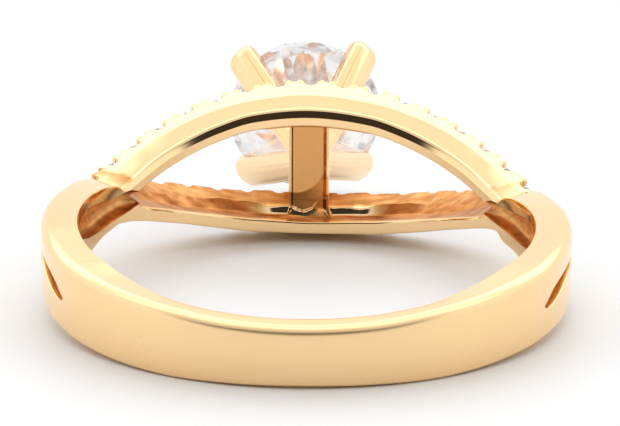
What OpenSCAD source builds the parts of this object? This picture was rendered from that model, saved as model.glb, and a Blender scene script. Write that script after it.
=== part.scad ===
/* [Finger hole and band] */
// Radius of the finger hole
hole_r = 8.65; // [8.4:0.05:8.9]
// Thickness of the plain band at its back
back_t = 1.5; // [1.3:0.05:1.8]
// Thickness of the band at its sides
side_t = 1.37; // [1.3:0.05:1.6]
// Thickness of the strands under the head
strand_t = 1.95; // [1.8:0.05:2.1]

/* [Shoulders] */
// How far round the right crossing lies behind the left one's mirror place, in degrees, halved
cross_turn = 1.2; // [0:0.1:1.6]
// How much lower the right shoulder sits than the left, halved
cross_drop = 0.1; // [0:0.01:0.14]
// Depth of the hollow inside each shoulder, as a share of its full depth
hollow_share = 1; // [0.7:0.05:1]

/* [Head] */
// Diameter of the centre stone
stone_d = 6.24; // [6:0.02:6.3]
// Height of the centre stone's girdle above the finger hole's wall
girdle_up = 7.05; // [6.9:0.05:7.3]
// Half the distance between neighbouring claw tips
claw_at = 2.48; // [2.46:0.01:2.54]
// Radius of a claw at its tip
claw_tip_r = 0.62; // [0.55:0.01:0.64]
// Radius of a claw at its foot
claw_foot_r = 0.68; // [0.6:0.02:0.75]
// How far the head leans to the left, in degrees
head_lean = 3.2; // [0:0.1:4]
// How far the head nods towards the table, in degrees
head_nod = 0.8; // [0:0.1:1.2]
// How far the head is twisted on its foot, in degrees
head_twist = 2; // [0:0.5:3]
// Width of the upright bar between the strands
bar_w = 1.62; // [1.4:0.01:1.8]
// How far the bar stands to the right of the ring's middle
bar_x = -0.05; // [-0.1:0.01:0.1]
// How far the bar stands back from the finger hole's wall
bar_back = 1.0; // [0.8:0.05:1.1]

/* [Small stones] */
// Diameter of the stones along the eye
accent_d = 1.16; // [1.1:0.01:1.18]
// Diameter of the stones on the under strand's shoulders
small_accent_d = 0.66; // [0.6:0.01:0.7]
// Angle from one stone to the next along the eye
accent_pitch = 7.05; // [7:0.05:7.3]
// Angle from one stone to the next on the under strand's shoulders
small_pitch = 5; // [5:0.1:5.5]
// Gap between a stone and the gold that holds it
stone_gap = 0.03; // [0.02:0.01:0.04]
// Radius of the open notch in the rim beside each stone
notch_r = 0.28; // [0.2:0.01:0.3]

/* [Hidden] */
$fn = 96;
gold = "gold";
ice = "lightcyan";

// Angles run round the finger hole from the head: 0 at the head, 180 at the back of the band.
// Heights are measured along the finger, from the ring's middle plane.
// Each row is one section of a strand: angle, its low and high edge at the finger hole,
// its low and high edge at the outer face, and its thickness there as a share of the way
// from the side's thickness (0) to the head's (1), or to the back's (-1).
A = 0; IN_LOW = 1; IN_HIGH = 2; OUT_LOW = 3; OUT_HIGH = 4; THICK = 5;
over_rows = [
    [  0,  1.95,  2.62,  1.74,  3.20,  1.00],
    [ 15,  1.81,  2.48,  1.53,  2.95,  0.96],
    [ 24,  1.53,  2.20,  1.20,  2.60,  0.90],
    [ 31,  1.24,  1.92,  0.85,  2.23,  0.84],
    [ 37,  0.96,  1.64,  0.50,  1.86,  0.78],
    [ 42,  0.71,  1.40,  0.18,  1.53,  0.72],
    [ 48,  0.38,  1.06, -0.17,  1.14,  0.64],
    [ 54,  0.02,  0.76, -0.52,  0.84,  0.56],
    [ 60, -0.78,  0.50, -0.84,  0.54,  0.46],
    [ 67, -0.90,  0.28, -1.10,  0.30,  0.34],
    [ 78, -1.16,  0.18, -1.26,  0.18,  0.16],
    [ 90, -1.28,  0.17, -1.34,  0.18,  0.02],
    [100, -1.30,  0.16, -1.35,  0.18,  0.00],
    [108, -1.29,  0.03, -1.35,  0.04, -0.10],
    [116, -1.28, -0.15, -1.35, -0.15, -0.20],
    [120, -1.27,  1.42, -1.35,  1.48, -0.26],
    [136, -1.22,  1.27, -1.34,  1.46, -0.50],
    [150, -1.12,  1.13, -1.30,  1.36, -0.75],
    [165, -1.08,  1.10, -1.16,  1.20, -0.94],
    [180, -1.06,  1.09, -1.09,  1.16, -1.00]];
under_rows = [
    [  0, -2.62, -2.14, -3.20, -1.74,  1.00],
    [ 15, -2.48, -1.95, -2.95, -1.53,  0.96],
    [ 24, -2.20, -1.67, -2.60, -1.20,  0.90],
    [ 31, -1.92, -1.40, -2.23, -0.85,  0.84],
    [ 37, -1.66, -1.14, -1.86, -0.50,  0.75],
    [ 42, -1.45, -0.90, -1.55, -0.16,  0.64],
    [ 48, -1.17, -0.60, -1.22,  0.16,  0.45],
    [ 54, -0.92,  0.10, -0.95,  0.48,  0.22],
    [ 60, -0.68,  0.84, -0.70,  0.90,  0.04],
    [ 67, -0.20,  1.10, -0.22,  1.13, -0.02],
    [ 78,  0.05,  1.31,  0.24,  1.33, -0.04],
    [ 90, -0.10,  1.40,  0.48,  1.42, -0.06],
    [100, -0.10,  1.43,  0.53,  1.47, -0.06],
    [108, -0.15,  1.43,  0.38,  1.485, -0.10],
    [116, -0.30,  1.415, 0.20,  1.475, -0.20],
    [123, -0.30,  1.39,  0.12,  1.45, -0.32]];
// The hollow between the strands inside each shoulder has the same columns, with its depth last.
hollow_rows = [
    [ 50, -0.30,  0.22, -0.16,  0.08,  0.25],
    [ 55, -0.42,  0.42, -0.20,  0.20,  0.50],
    [ 60, -0.50,  0.42, -0.26,  0.18,  0.55],
    [ 69, -0.55,  0.62, -0.26,  0.33,  0.55],
    [ 76, -0.42,  0.80, -0.12,  0.50,  0.50],
    [ 83, -0.10,  0.85,  0.14,  0.61,  0.42],
    [ 90,  0.12,  0.72,  0.27,  0.57,  0.26],
    [ 96,  0.30,  0.44,  0.33,  0.41,  0.12]];
section_step = 4;
under_from = 120;
under_end = 123;
hollow_from = 53;
hollow_step = 4;
hollow_end = 93;
// How far a strand and a hollow reach inwards past the finger hole's wall
inside_t = 0.7;
hollow_inside_t = 0.5;

// A smooth curve through one column of a table, with no overshoot.
function secant(t, i, c) = (t[i + 1][c] - t[i][c]) / (t[i + 1][A] - t[i][A]);
function gentle(p, q) = p * q <= 0 ? 0 : 2 * p * q / (p + q);
function slope(t, i, c) = i == 0 || i == len(t) - 1 ? 0 : gentle(secant(t, i - 1, c), secant(t, i, c));
function row_before(t, a, i = 0) = i >= len(t) - 2 || a < t[i + 1][A] ? i : row_before(t, a, i + 1);
function hermite(u, h, p, q, dp, dq) =
    (2 * u ^ 3 - 3 * u ^ 2 + 1) * p + (3 * u ^ 2 - 2 * u ^ 3) * q
    + h * ((u ^ 3 - 2 * u ^ 2 + u) * dp + (u ^ 3 - u ^ 2) * dq);
function plain(t, a, c) =
    let (i = row_before(t, a), h = t[i + 1][A] - t[i][A])
    hermite((a - t[i][A]) / h, h, t[i][c], t[i + 1][c], slope(t, i, c), slope(t, i + 1, c));
// The hand-finished shoulders aren't quite mirror images: the difference dies away by shoulder_end.
shoulder_end = 130;
function uneven(a) = abs(a) < shoulder_end ? sign(a) * sin(180 * abs(a) / shoulder_end) : 0;
function along(t, a, c) =
    plain(t, abs(a) - cross_turn * uneven(a), c) - (c == THICK ? 0 : cross_drop * uneven(a));

function outer_r(t, a) =
    let (s = along(t, a, THICK))
    hole_r + side_t + max(s, 0) * (strand_t - side_t) + max(-s, 0) * (back_t - side_t);
function outer_mid(t, a) = (along(t, a, OUT_LOW) + along(t, a, OUT_HIGH)) / 2;
function outer_w(t, a) = along(t, a, OUT_HIGH) - along(t, a, OUT_LOW);
function round_to(a, r, z) = [r * sin(a), r * cos(a), z];
// A section is a wedge: its sides pass through the edges at the finger hole and at the outer radius r,
// and run on inwards past the hole's wall by past, where the hole is cut afterwards.
function edge_inside(t, a, r, past, inner, outer) =
    along(t, a, inner) - (along(t, a, outer) - along(t, a, inner)) * past / (r - hole_r);
function section(t, a, r, past) = [
    round_to(a, hole_r - past, edge_inside(t, a, r, past, IN_LOW, OUT_LOW)),
    round_to(a, r, along(t, a, OUT_LOW)),
    round_to(a, r, along(t, a, OUT_HIGH)),
    round_to(a, hole_r - past, edge_inside(t, a, r, past, IN_HIGH, OUT_HIGH))];
function strand_sections(t, angles) = [for (a = angles) section(t, a, outer_r(t, a), inside_t)];
function hollow_r(a) = hole_r + hollow_share * along(hollow_rows, a, THICK);
function hollow_sections(angles) = [for (a = angles) section(hollow_rows, a, hollow_r(a), hollow_inside_t)];
over_angles = [for (a = [0 : section_step : 359]) a > 180 ? a - 360 : a];
under_angles = concat([-under_end], [for (a = [-under_from : section_step : under_from]) a], [under_end]);
right_angles = [for (a = [hollow_from : hollow_step : hollow_end]) a];
left_angles = [for (a = [-hollow_end : hollow_step : -hollow_from]) a];

module swept(sections, closed) {
    n = len(sections);
    k = 4;
    points = [for (part = sections) each part];
    skin = [for (i = [0 : closed ? n - 1 : n - 2], j = [0 : k - 1])
        let (p = i * k + j, q = i * k + (j + 1) % k)
        let (i2 = (i + 1) % n, r = i2 * k + (j + 1) % k, s = i2 * k + j)
        each [[p, r, q], [p, s, r]]];
    ends = closed ? [] : [[for (j = [0 : k - 1]) j], [for (j = [k - 1 : -1 : 0]) (n - 1) * k + j]];
    polyhedron(points, concat(skin, ends));
}

// Head: the stone's proportions, as shares of its diameter
crown_share = 0.12;
rim_share = 0.03;
pavilion_share = 0.445;
table_share = 0.65;
star_share = 0.83;
half_share = 0.23;
// The same for the small stones, with the rim in millimetres
small_table_share = 0.58;
small_crown_share = 0.13;
small_pavilion_share = 0.43;
small_rim = 0.02;
girdle_y = hole_r + girdle_up;
bar_y = hole_r + bar_back;
bar_t = 0.85;
bar_reach = 2.15;
foot_up = 1.5;
foot_y = hole_r + foot_up;
foot_at = 0.36;
claw_over = 0.2;
claw_y = girdle_y + claw_over;

// The stones' places: angle and node name of each
over_count = 9;
over_spots = [for (i = [-over_count : over_count]) i * accent_pitch];
under_count = 6;
small_from = 64;
small_count = 3;
small_spots = [for (i = [0 : small_count - 1]) small_from + i * small_pitch];
under_spots = concat([for (i = [small_count - 1 : -1 : 0]) -small_spots[i]],
    [for (i = [-under_count : under_count]) i * accent_pitch], small_spots);
function two_digits(i) = str(i < 10 ? "0" : "", i);
function over_name(i) = str("over_accent_", two_digits(i + 1));
function under_name(i) = str("under_accent_", two_digits(i + 1));
function is_small(a) = abs(a) > small_from - 1;
function under_d(a) = is_small(a) ? small_accent_d : accent_d;
// The small shoulder stones sit a fixed way in from the under strand's outer edge.
small_in = 0.4;
function under_z(a) = is_small(a) ? along(under_rows, a, OUT_HIGH) - small_in : outer_mid(under_rows, a);
accent_sink = 0.09;
// A seat: the gap below a stone's rim, and its cone as shares of the stone's diameter
seat_gap = 0.04;
seat_cone = 0.47;
seat_tip = 0.08;
seat_h = 1;
notch_sink = 0.16;
notch_over = 0.2;

// The ring lies on its side: it rests on the under strand's lowest point and on two points of the band.
rest_a = 152;
front_rest = [outer_r(under_rows, 0), along(under_rows, 0, OUT_LOW)];
back_rest = [outer_r(over_rows, rest_a) * cos(rest_a), along(over_rows, rest_a, OUT_LOW)];
tilt = atan2(back_rest[1] - front_rest[1], front_rest[0] - back_rest[0]);
lift = -(front_rest[0] * sin(tilt) + front_rest[1] * cos(tilt));
middle_y = 3.285;

module at_rest() {
    translate([0, -middle_y, lift]) rotate([tilt, 0, 0]) children();
}

// Stands children up along the radius at an angle, with z = 0 on the outer face.
module on_face(a, r, z) {
    translate(round_to(a, r, z)) rotate([0, 0, -a]) rotate([-90, 0, 0]) children();
}

// A round bar from point p to point q, that ends in a dome
module domed_rod(p, q, r1, r2) {
    d = q - p;
    h = norm(d);
    dome = [for (a = [0 : 22.5 : 67.5]) [r2 * cos(a), h + r2 * sin(a)]];
    translate(p) rotate([0, acos(d[2] / h), atan2(d[1], d[0])])
        rotate_extrude() polygon(concat([[0, 0], [r1, 0]], dome, [[0, h + r2]]));
}

module seat(a, r, z, d) {
    hole = d / 2 + stone_gap;
    on_face(a, r, z) {
        translate([0, 0, -accent_sink - seat_gap]) cylinder(h = seat_h, r = hole, $fn = 32);
        translate([0, 0, -accent_sink - seat_gap - d * seat_cone])
            cylinder(h = d * seat_cone, r1 = d * seat_tip, r2 = hole, $fn = 32);
    }
}

module notch(a, r, z, w) {
    on_face(a, r, z) translate([0, 0, -notch_sink]) rotate([90, 0, 0])
        cylinder(h = w + notch_over, r = notch_r, center = true, $fn = 24);
}

module seats() {
    for (a = over_spots) {
        seat(a, outer_r(over_rows, a), outer_mid(over_rows, a), accent_d);
        notch(a, outer_r(over_rows, a), outer_mid(over_rows, a), outer_w(over_rows, a));
    }
    for (a = under_spots) {
        seat(a, outer_r(under_rows, a), under_z(a), under_d(a));
        if (!is_small(a)) notch(a, outer_r(under_rows, a), under_z(a), outer_w(under_rows, a));
    }
}

module stone_profile(d, gap) {
    r = d / 2 + gap;
    rim = d * rim_share / 2 + gap;
    polygon([[0, -d * pavilion_share - rim - gap], [r, -rim], [r, rim],
        [d * table_share / 2 + gap, d * crown_share + rim], [0, d * crown_share + rim]]);
}

// Leans, nods and twists the claws and their stone together, about the claws' foot.
module head_set() {
    translate([0, foot_y, 0]) rotate([0, 0, head_lean]) rotate([-head_nod, 0, 0]) rotate([0, -head_twist, 0])
        translate([0, -foot_y, 0]) children();
}

module head_place() {
    head_set() translate([0, girdle_y, 0]) rotate([-90, 0, 0]) rotate([0, 0, 11.25]) children();
}

module claws() {
    head_set() for (sx = [-1, 1], sz = [-1, 1])
        domed_rod([sx * foot_at, foot_y, sz * foot_at], [sx * claw_at, claw_y, sz * claw_at],
            claw_foot_r, claw_tip_r);
}

module bar() {
    translate([bar_x - bar_w / 2, bar_y, -bar_reach]) cube([bar_w, bar_t, 2 * bar_reach]);
}

module mounting() {
    color(gold) at_rest() difference() {
        union() {
            swept(strand_sections(over_rows, over_angles), true);
            swept(strand_sections(under_rows, under_angles), false);
            bar();
            claws();
        }
        cylinder(h = 12, r = hole_r, center = true);
        swept(hollow_sections(right_angles), false);
        swept(hollow_sections(left_angles), false);
        seats();
        head_place() rotate_extrude() stone_profile(stone_d, stone_gap);
    }
}

// A round brilliant: table, 8 star facets, 8 kites, 16 upper and 16 lower girdle facets and 8 mains
module brilliant(d) {
    r = d / 2;
    rim = d * rim_share / 2;
    top = rim + d * crown_share;
    low = -rim - d * pavilion_share;
    rt = d * table_share / 2;
    rs = r * star_share;
    rl = r * half_share;
    c = cos(22.5);
    hs = top + (rs * c - rt) * (rim - top) / (r - rt);
    hl = low + rl * c * (-rim - low) / r;
    ring8 = function (rad, turn, h) [for (i = [0 : 7]) [rad * cos(45 * i + turn), rad * sin(45 * i + turn), h]];
    ring16 = function (h) [for (i = [0 : 15]) [r * cos(22.5 * i), r * sin(22.5 * i), h]];
    points = concat(ring8(rt, 0, top), ring8(rs, 22.5, hs), ring16(rim), ring16(-rim),
        ring8(rl, 22.5, hl), [[0, 0, low]]);
    T = 0; S = 8; U = 16; W = 32; L = 48; C = 56;
    faces = concat([[for (i = [7 : -1 : 0]) T + i]],
        [for (i = [0 : 7]) let (j = (i + 1) % 8, k = (i + 7) % 8, m = 2 * i, n = (2 * i + 2) % 16) each [
            [T + i, T + j, S + i],
            [T + i, S + i, U + m], [T + i, U + m, S + k],
            [S + i, U + m + 1, U + m], [S + i, U + n, U + m + 1],
            [U + m, U + m + 1, W + m + 1, W + m], [U + m + 1, U + n, W + n, W + m + 1],
            [W + m, W + m + 1, L + i], [W + m + 1, W + n, L + i],
            [C, W + m, L + i], [C, L + k, W + m]]]);
    polyhedron(points, faces);
}

// A small single cut: table, 8 crown facets, girdle and 8 pavilion facets
module single_cut(d) {
    r = d / 2;
    rim = small_rim;
    ring8 = function (rad, h) [for (i = [0 : 7]) [rad * cos(45 * i + 22.5), rad * sin(45 * i + 22.5), h]];
    points = concat(ring8(r * small_table_share, d * small_crown_share), ring8(r, rim), ring8(r, -rim),
        [[0, 0, -d * small_pavilion_share]]);
    faces = concat([[for (i = [7 : -1 : 0]) i]],
        [for (i = [0 : 7]) let (j = (i + 1) % 8) each [
            [i, j, 8 + j, 8 + i], [8 + i, 8 + j, 16 + j, 16 + i], [24, 16 + i, 16 + j]]]);
    polyhedron(points, faces);
}

module center_diamond() {
    color(ice) at_rest() head_place() brilliant(stone_d);
}

module over_accent(i) {
    a = over_spots[i];
    color(ice) at_rest() on_face(a, outer_r(over_rows, a) - accent_sink, outer_mid(over_rows, a))
        single_cut(accent_d);
}

module under_accent(i) {
    a = under_spots[i];
    color(ice) at_rest() on_face(a, outer_r(under_rows, a) - accent_sink, under_z(a))
        single_cut(under_d(a));
}

mounting();
center_diamond();
for (i = [0 : len(over_spots) - 1]) over_accent(i);
for (i = [0 : len(under_spots) - 1]) under_accent(i);
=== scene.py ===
"""The looks of a gold solitaire ring that lies on its side, with its stones, light and camera."""

import math

import bmesh
import bpy
import numpy as np
from mathutils import Matrix, Vector


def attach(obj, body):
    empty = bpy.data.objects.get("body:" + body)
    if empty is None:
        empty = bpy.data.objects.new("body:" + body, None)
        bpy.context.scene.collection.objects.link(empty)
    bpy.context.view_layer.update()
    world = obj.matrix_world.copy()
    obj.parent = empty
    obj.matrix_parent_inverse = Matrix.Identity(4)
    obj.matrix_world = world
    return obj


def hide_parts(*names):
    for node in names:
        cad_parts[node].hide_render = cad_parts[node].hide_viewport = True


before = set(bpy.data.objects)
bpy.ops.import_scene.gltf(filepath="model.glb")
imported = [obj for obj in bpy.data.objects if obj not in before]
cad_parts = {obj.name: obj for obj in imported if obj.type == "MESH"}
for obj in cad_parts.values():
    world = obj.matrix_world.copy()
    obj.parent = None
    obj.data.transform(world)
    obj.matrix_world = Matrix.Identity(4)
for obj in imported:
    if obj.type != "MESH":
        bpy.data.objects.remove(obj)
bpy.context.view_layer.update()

# Lengths are in millimetres in the ring's own flat frame, where z runs along the finger and y points from
# the middle of the finger hole to the head. They become metres when a mesh is made.
MM = 0.001

# The finger hole, the band's thickness at its back, at its sides and at the head
HOLE_R = 8.65
BACK_T = 1.5
SIDE_T = 1.37
STRAND_T = 1.95

# How far the shoulders are turned and dropped from mirror images, in degrees and mm, up to this angle
CROSS_TURN = 1.2
CROSS_DROP = 0.1
SHOULDER_END = 130

# The under strand's end, and the rows between which the over strand rises to take in its top
UNDER_END = 123
SEAM_ROWS = (119.9, 120)

# The head: the centre stone, its height, and how the head stands, in degrees
STONE_D = 6.24
GIRDLE_Y = HOLE_R + 7.05
FOOT_Y = HOLE_R + 1.5
HEAD_LEAN = 3.2
HEAD_NOD = 0.8
HEAD_TWIST = 2

# The claws: where their tips are, their section's width, thickness and chamfer, how far the inner side is
# wider, how far in the line along a claw is cut, and half that line's width
CLAW_AT = 2.48
CLAW_Y = GIRDLE_Y + 0.2
CLAW_W = 1.22
CLAW_T = 0.92
CLAW_CHAMFER = 0.32
CLAW_INNER = 0.09
CLAW_CUT = 0.16
CLAW_LINE = 0.035
# Where a claw's foot is in x and y, and in z for the lower and the upper pair
CLAW_FOOT_X = 0.22
CLAW_FOOT_Y = FOOT_Y - 0.28
CLAW_FOOT_Z = {-1: -0.06, 1: 0.26}
# How far each claw's tip is off its place in x and z. The keys are the signs of x and z.
CLAW_SLIP = {
    (-1, -1): (-0.06, 0.0),
    (-1, 1): (-0.13, 0.04),
    (1, -1): (-0.12, 0.0),
    (1, 1): (0.12, 0.05),
}
# A claw grows from its foot: share of its length, size. Then it is full size up to a round cap.
CLAW_TAPER = [(0, 0.60), (0.1, 0.82), (0.2, 0.90), (0.4, 0.95), (0.6, 0.98)]
CLAW_BEND = 0.55
CLAW_PAST = 0.32
CLAW_CAP = 0.60
CAP_STEPS = (12, 24, 36, 47, 57, 66, 74, 80, 85)

# The upright bar between the strands, and its grooves' distances from its left and right sides
BAR_X = -0.05
BAR_W = 1.62
BAR_H = 4.3
BAR_Y = HOLE_R + 1.0
BAR_DEPTH = 0.85
BAR_EDGE = 0.10
LEFT_GROOVE = 0.14
RIGHT_GROOVE = 0.175
GROOVE_DEPTH = 0.09

# The small stones: how wide, how far apart in degrees, how many on each side of the head, and where the
# smallest ones are. Then how deep they sit, the gap round a stone, and the scallops' and grains' radii.
ACCENT_D = 1.16
SMALL_ACCENT_D = 0.66
ACCENT_PITCH = 7.05
OVER_COUNT = 9
UNDER_COUNT = 6
SMALL_ANGLES = (64, 69, 74)
SMALL_IN = 0.4
ACCENT_SINK = 0.09
STONE_GAP = 0.03
SCALLOP_R = 0.29
GRAIN_R = 0.18

# How the ring rests: it is tipped about x to touch at this angle behind, and moved back by MIDDLE_Y
REST_ANGLE = 152
MIDDLE_Y = 3.285

# Sections of the two strands. Columns: angle from the head, low and high edge at the finger hole,
# low and high edge at the outer face, thickness as a share (0 side, 1 head, -1 back).
ANGLE, IN_LOW, IN_HIGH, OUT_LOW, OUT_HIGH, THICK = range(6)
OVER_ROWS = np.array([
    [0, 1.95, 2.62, 1.74, 3.20, 1.00],
    [15, 1.81, 2.48, 1.53, 2.95, 0.96],
    [24, 1.53, 2.20, 1.20, 2.60, 0.90],
    [31, 1.24, 1.92, 0.85, 2.23, 0.84],
    [37, 0.96, 1.64, 0.50, 1.86, 0.78],
    [42, 0.71, 1.40, 0.18, 1.53, 0.72],
    [48, 0.38, 1.06, -0.17, 1.14, 0.64],
    [54, 0.02, 0.76, -0.52, 0.84, 0.56],
    [60, -0.79, 0.50, -0.84, 0.54, 0.46],
    [67, -0.90, 0.28, -1.10, 0.30, 0.34],
    [78, -1.16, 0.18, -1.26, 0.18, 0.16],
    [90, -1.28, 0.17, -1.34, 0.18, 0.02],
    [100, -1.30, 0.16, -1.35, 0.18, 0.00],
    [108, -1.29, -0.03, -1.35, -0.07, -0.10],
    [116, -1.28, -0.24, -1.35, -0.26, -0.20],
    [119.9, -1.27, 0.90, -1.35, 0.95, -0.25],
    [120, -1.27, 1.423, -1.35, 1.483, -0.31],
    [136, -1.22, 1.27, -1.34, 1.46, -0.50],
    [150, -1.12, 1.12, -1.30, 1.41, -0.75],
    [165, -1.08, 1.08, -1.16, 1.26, -0.94],
    [180, -1.06, 1.07, -1.09, 1.22, -1.00],
])
UNDER_ROWS = np.array([
    [0, -2.62, -2.14, -3.20, -1.74, 1.00],
    [15, -2.48, -1.95, -2.95, -1.53, 0.96],
    [24, -2.20, -1.67, -2.60, -1.20, 0.90],
    [31, -1.92, -1.40, -2.23, -0.85, 0.84],
    [37, -1.66, -1.14, -1.86, -0.50, 0.75],
    [42, -1.45, -0.90, -1.55, -0.16, 0.64],
    [48, -1.17, -0.60, -1.22, 0.16, 0.45],
    [54, -0.92, 0.10, -0.95, 0.48, 0.22],
    [60, -0.75, 0.84, -0.76, 0.90, 0.04],
    [67, -0.20, 1.10, -0.22, 1.13, -0.02],
    [78, -0.10, 1.31, 0.24, 1.33, -0.04],
    [90, -0.50, 1.40, 0.48, 1.42, -0.06],
    [100, -0.60, 1.43, 0.58, 1.47, -0.06],
    [108, -0.60, 1.425, 0.50, 1.482, -0.10],
    [113, -0.70, 1.422, 0.33, 1.481, -0.16],
    [116, -0.80, 1.421, 0.06, 1.4805, -0.22],
    [120, -0.80, 1.4195, -0.30, 1.4795, -0.28],
    [123, -0.80, 1.35, -0.40, 1.39, -0.20],
])
# The hollow between the strands inside each shoulder: angle, its low and high edge, its depth
HOLLOW_ROWS = np.array([
    [50, -0.30, 0.22, 0.25],
    [55, -0.42, 0.42, 0.55],
    [60, -0.50, 0.42, 0.62],
    [69, -0.55, 0.62, 0.62],
    [76, -0.42, 0.80, 0.55],
    [83, -0.10, 0.85, 0.42],
    [90, 0.12, 0.72, 0.26],
    [96, 0.30, 0.44, 0.08],
])
HOLLOW_LOW, HOLLOW_HIGH, HOLLOW_DEPTH = 1, 2, 3
# How far the right shoulder's lower edges differ: angle, at the finger hole, at the outer face
RIGHT_OVER = np.array([
    [46, 0, 0],
    [51, 0, 0],
    [55, -0.50, -0.05],
    [60, -0.28, -0.15],
    [66, -0.22, -0.20],
    [76, -0.20, -0.20],
    [98, 0, 0],
])
RIGHT_UNDER = np.array([
    [28, 0, 0],
    [44, 0.08, 0.08],
    [54, 0.12, 0.12],
    [64, 0, 0],
])
AT_HOLE, AT_FACE = 1, 2

# The strands' sections. Each pair of angles says where round the ring a form starts to change and where it
# has changed: the forms near the head, the eye's inner side, the crease, and the rounding behind.
NEAR_HEAD = (50, 110)
BESIDE_EYE = (30, 56)
CREASE_OUT = (10, 45)
CREASE_IN = (80, 110)
OVER_ROUNDS = (117, 119.5)
UNDER_ROUNDS = (62, 80)
FAR_BACK = (120, 150)
COMFORT = (121, 178)
# The bar stands at this angle, and the wall beside the eye is closer to it than these two angles
BAR_ANGLE = 2
BESIDE_BAR = (11.5, 18)
# The wall beside the eye: its foot and top as shares of the strand's thickness, how much further out the
# top is away from the bar, and in mm how far the wall rises and the rim beyond it
WALL_FOOT = 0.36
WALL_TOP = 0.43
TOP_SPREAD = 0.16
WALL_RISE = 0.33
RIM_RISE = 0.17
# Towards the back the foot and the top of the under strand's wall move in, to the over strand's crease
FOOT_IN = 0.18
TOP_IN = 0.25
# The bevel along the finger hole's upper edge, the strands' slight dome, and the rounding inside the back
BEVEL_SLOPE = math.tan(math.radians(20))
OVER_BEVEL = 0.32
UNDER_BEVEL = 0.07
PLAIN_BEVEL = 0.03
DOME = 0.02
COMFORT_W = 0.28
COMFORT_H = 0.20


def slopes(rows, column):
    """The curve's slope at each row: flat at the ends, and the harmonic mean of its neighbours' between."""
    secants = np.diff(rows[:, column]) / np.diff(rows[:, ANGLE])
    before, after = secants[:-1], secants[1:]
    product = before * after
    total = before + after
    inner = np.where(product > 0, 2 * product / np.where(total == 0, 1, total), 0)
    return np.concatenate([[0], inner, [0]])


def column_at(rows, angles, column):
    """One column of a table at any angles, by a smooth curve with no overshoot."""
    known = rows[:, ANGLE]
    i = np.clip(np.searchsorted(known, angles, side="right") - 1, 0, len(known) - 2)
    h = known[i + 1] - known[i]
    u = (angles - known[i]) / h
    slope = slopes(rows, column)
    p, q = rows[i, column], rows[i + 1, column]
    return ((2 * u**3 - 3 * u**2 + 1) * p + (3 * u**2 - 2 * u**3) * q
            + h * ((u**3 - 2 * u**2 + u) * slope[i] + (u**3 - u**2) * slope[i + 1]))


def right_dip(rows, angles, column):
    """How much lower the right shoulder's lower edge is, at the finger hole or at the outer face."""
    table = RIGHT_OVER if rows is OVER_ROWS else RIGHT_UNDER
    inside = np.clip(angles, table[0, ANGLE], table[-1, ANGLE])
    return column_at(table, inside, column)


def uneven(angles):
    """How far the hand-finished shoulders differ from mirror images, from -1 to 1."""
    inside = np.abs(angles) < SHOULDER_END
    return np.where(inside, np.sign(angles) * np.sin(np.pi * np.abs(angles) / SHOULDER_END), 0)


def along(rows, angles, column):
    """One column of a strand's table at angles round the ring, where the shoulders aren't quite alike."""
    angles = np.asarray(angles, float)
    drop = 0 if column == THICK else CROSS_DROP * uneven(angles)
    return column_at(rows, np.abs(angles) - CROSS_TURN * uneven(angles), column) - drop


def outer_radius(rows, angles):
    share = along(rows, angles, THICK)
    return (HOLE_R + SIDE_T + np.maximum(share, 0) * (STRAND_T - SIDE_T)
            + np.maximum(-share, 0) * (BACK_T - SIDE_T))


def outer_middle(rows, angles):
    return (along(rows, angles, OUT_LOW) + along(rows, angles, OUT_HIGH)) / 2


def outer_width(rows, angles):
    return along(rows, angles, OUT_HIGH) - along(rows, angles, OUT_LOW)


def resting():
    """The matrix from the ring's flat frame to where it rests, in metres."""
    front_y = float(outer_radius(UNDER_ROWS, 0))
    front_z = float(along(UNDER_ROWS, 0, OUT_LOW))
    back_y = float(outer_radius(OVER_ROWS, REST_ANGLE)) * math.cos(math.radians(REST_ANGLE))
    back_z = float(along(OVER_ROWS, REST_ANGLE, OUT_LOW))
    tilt = math.atan2(back_z - front_z, front_y - back_y)
    lift = -(front_y * math.sin(tilt) + front_z * math.cos(tilt))
    turn = Matrix.Rotation(tilt, 4, "X")
    return Matrix.Scale(MM, 4) @ Matrix.Translation((0, -MIDDLE_Y, lift)) @ turn


REST = resting()
# How the head stands on its foot
HEAD_SET = (Matrix.Translation((0, FOOT_Y, 0))
            @ Matrix.Rotation(math.radians(HEAD_LEAN), 4, "Z")
            @ Matrix.Rotation(math.radians(-HEAD_NOD), 4, "X")
            @ Matrix.Rotation(math.radians(-HEAD_TWIST), 4, "Y")
            @ Matrix.Translation((0, -FOOT_Y, 0)))


def mesh_object(name, points, faces):
    mesh = bpy.data.meshes.new(name)
    mesh.from_pydata([tuple(p) for p in points], [], [tuple(f) for f in faces])
    mesh.update()
    obj = bpy.data.objects.new(name, mesh)
    bpy.context.scene.collection.objects.link(obj)
    return obj


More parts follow.
